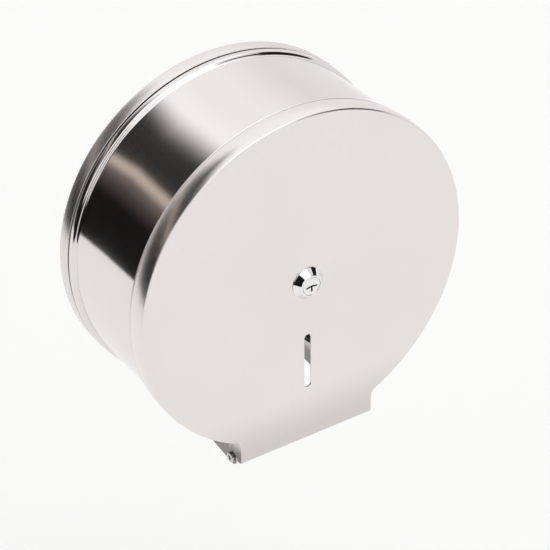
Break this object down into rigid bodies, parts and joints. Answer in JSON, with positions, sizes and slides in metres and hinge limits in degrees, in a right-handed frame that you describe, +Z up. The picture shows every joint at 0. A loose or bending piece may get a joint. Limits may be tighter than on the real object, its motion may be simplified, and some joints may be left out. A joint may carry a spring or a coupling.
{
  "type": "wall roll dispenser",
  "caption": "Round stainless wall dispenser for a large paper roll: drum on a wall pan, hinged front cover with bib, central cam lock, sight slot, turning roll hub and tear bar.",
  "frame": {"origin": "on the wall plane, on the drum's axis, at the centre of the four wall slots", "axes": "+Z up, +X to the right of someone facing the cover, +Y into the wall, so the cover faces -Y"},
  "size_m": [0.251, 0.116, 0.265],
  "materials": {
    "stainless": "satin to bright rolled stainless sheet",
    "lock_chrome": "polished chrome plate",
    "zinc_plate": "dull zinc plate",
    "fastener_steel": "plain stainless, satin",
    "hub_plastic": "moulded, matt light grey"
  },
  "bodies": {
    "housing": {"base_pan": "stainless", "drum_shell": "stainless", "shell_rivets": "fastener_steel", "spindle_base": "zinc_plate", "spindle_rivets": "fastener_steel", "spindle_post": "zinc_plate", "thrust_washer": "hub_plastic", "hub_retainer": "fastener_steel", "keeper": "zinc_plate", "keeper_screw": "fastener_steel", "tear_bar": "fastener_steel", "tear_bar_rivets": "fastener_steel", "hinge_pin_left": "fastener_steel", "hinge_pin_right": "fastener_steel", "hinge_clips": "fastener_steel", "hinge_spacers": "fastener_steel"},
    "hub": {"roll_hub": "hub_plastic"},
    "cover": {"front_cover": "stainless", "hinge_leaf_left": "fastener_steel", "hinge_leaf_right": "fastener_steel", "lock_housing": "lock_chrome", "lock_washer": "zinc_plate", "lock_nut": "zinc_plate"},
    "lock_core": {"lock_plug": "lock_chrome", "lock_cam": "fastener_steel", "cam_screw": "fastener_steel"}
  },
  "joints": [
    {"name": "cover_hinge", "type": "hinge", "parent": "housing", "child": "cover", "pos_m": [0, -0.0955, -0.1339], "axis": [1, 0, 0], "range_deg": [0, 150]},
    {"name": "lock_turn", "type": "hinge", "parent": "cover", "child": "lock_core", "pos_m": [0, -0.111, 0], "axis": [0, 1, 0], "range_deg": [0, 90]},
    {"name": "hub_spin", "type": "hinge", "parent": "housing", "child": "hub", "pos_m": [0, -0.047, 0], "axis": [0, 1, 0], "continuous": true}
  ]
}
